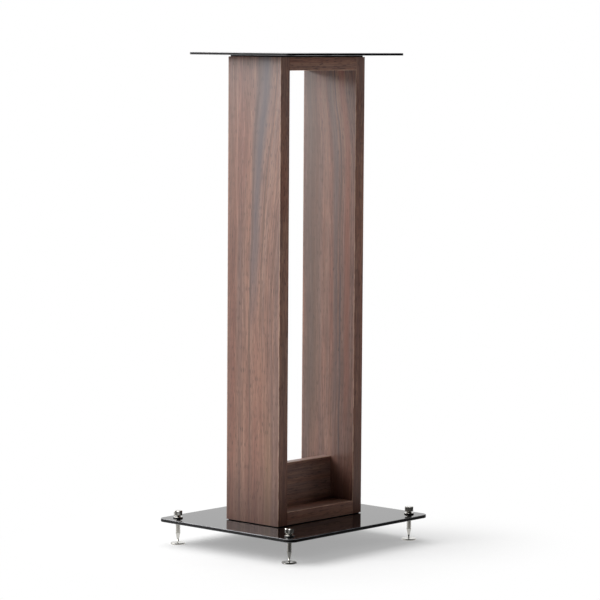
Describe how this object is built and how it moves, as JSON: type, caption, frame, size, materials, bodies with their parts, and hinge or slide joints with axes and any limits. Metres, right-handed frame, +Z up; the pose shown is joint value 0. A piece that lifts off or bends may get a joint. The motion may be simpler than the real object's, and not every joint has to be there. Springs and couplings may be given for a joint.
{
  "type": "speaker stand",
  "caption": "Floor stand for a bookshelf loudspeaker: open wood-finish column between two thin black plates, on adjustable screw spikes with floor discs.",
  "frame": {"origin": "on the floor, under the middle of the base plate", "axes": "+X from the left side board to the right one across the open window, -Y towards the front, +Z up"},
  "size_m": [0.255, 0.22, 0.6],
  "materials": {
    "walnut_veneer": "satin walnut-grain foil on fibreboard",
    "black_lacquer": "high-gloss black lacquer on sheet steel",
    "chrome": "bright nickel-chrome plate on turned steel",
    "black_nylon": "moulded nylon, matte",
    "foam": "thin closed-cell foam",
    "birch_plywood": "birch plywood spline, unfinished",
    "black_oxide_steel": "black oxide"
  },
  "bodies": {
    "stand": {"base_plate": "black_lacquer", "base_pad": "foam", "left_board": "walnut_veneer", "right_board": "walnut_veneer", "bottom_board": "walnut_veneer", "top_board": "walnut_veneer", "brace_panel": "walnut_veneer", "rail_splines": "birch_plywood", "brace_splines": "birch_plywood", "top_pad": "foam", "top_plate": "black_lacquer", "base_screws": "black_oxide_steel", "top_screws": "black_oxide_steel"},
    "spike_washer_front_left": {"spike_washer_front_left": "black_nylon"},
    "spike_front_left": {"spike_front_left": "chrome"},
    "floor_disc_front_left": {"floor_disc_front_left": "chrome"},
    "spike_washer_front_right": {"spike_washer_front_right": "black_nylon"},
    "spike_front_right": {"spike_front_right": "chrome"},
    "floor_disc_front_right": {"floor_disc_front_right": "chrome"},
    "spike_washer_rear_left": {"spike_washer_rear_left": "black_nylon"},
    "spike_rear_left": {"spike_rear_left": "chrome"},
    "floor_disc_rear_left": {"floor_disc_rear_left": "chrome"},
    "spike_washer_rear_right": {"spike_washer_rear_right": "black_nylon"},
    "spike_rear_right": {"spike_rear_right": "chrome"},
    "floor_disc_rear_right": {"floor_disc_rear_right": "chrome"}
  },
  "joints": [
    {"name": "spike_travel_front_left", "type": "slide", "parent": "stand", "child": "spike_washer_front_left", "axis": [0, 0, 1], "range_m": [0, 0.01]},
    {"name": "spike_turn_front_left", "type": "hinge", "parent": "spike_washer_front_left", "child": "spike_front_left", "pos_m": [-0.11, -0.092, 0.032], "axis": [0, 0, 1], "range_deg": [0, 3600.1]},
    {"name": "disc_lift_front_left", "type": "slide", "parent": "spike_washer_front_left", "child": "floor_disc_front_left", "axis": [0, 0, -1], "range_m": [0, 0.015]},
    {"name": "spike_travel_front_right", "type": "slide", "parent": "stand", "child": "spike_washer_front_right", "axis": [0, 0, 1], "range_m": [0, 0.01]},
    {"name": "spike_turn_front_right", "type": "hinge", "parent": "spike_washer_front_right", "child": "spike_front_right", "pos_m": [0.11, -0.092, 0.032], "axis": [0, 0, 1], "range_deg": [0, 3600.1]},
    {"name": "disc_lift_front_right", "type": "slide", "parent": "spike_washer_front_right", "child": "floor_disc_front_right", "axis": [0, 0, -1], "range_m": [0, 0.015]},
    {"name": "spike_travel_rear_left", "type": "slide", "parent": "stand", "child": "spike_washer_rear_left", "axis": [0, 0, 1], "range_m": [0, 0.01]},
    {"name": "spike_turn_rear_left", "type": "hinge", "parent": "spike_washer_rear_left", "child": "spike_rear_left", "pos_m": [-0.11, 0.092, 0.032], "axis": [0, 0, 1], "range_deg": [0, 3600.1]},
    {"name": "disc_lift_rear_left", "type": "slide", "parent": "spike_washer_rear_left", "child": "floor_disc_rear_left", "axis": [0, 0, -1], "range_m": [0, 0.015]},
    {"name": "spike_travel_rear_right", "type": "slide", "parent": "stand", "child": "spike_washer_rear_right", "axis": [0, 0, 1], "range_m": [0, 0.01]},
    {"name": "spike_turn_rear_right", "type": "hinge", "parent": "spike_washer_rear_right", "child": "spike_rear_right", "pos_m": [0.11, 0.092, 0.032], "axis": [0, 0, 1], "range_deg": [0, 3600.1]},
    {"name": "disc_lift_rear_right", "type": "slide", "parent": "spike_washer_rear_right", "child": "floor_disc_rear_right", "axis": [0, 0, -1], "range_m": [0, 0.015]}
  ],
  "couplings": [
    {"joint": "spike_turn_front_left", "follows": "spike_travel_front_left", "rad_per_m": 6283.2},
    {"joint": "spike_turn_front_right", "follows": "spike_travel_front_right", "rad_per_m": 6283.2},
    {"joint": "spike_turn_rear_left", "follows": "spike_travel_rear_left", "rad_per_m": 6283.2},
    {"joint": "spike_turn_rear_right", "follows": "spike_travel_rear_right", "rad_per_m": 6283.2}
  ]
}
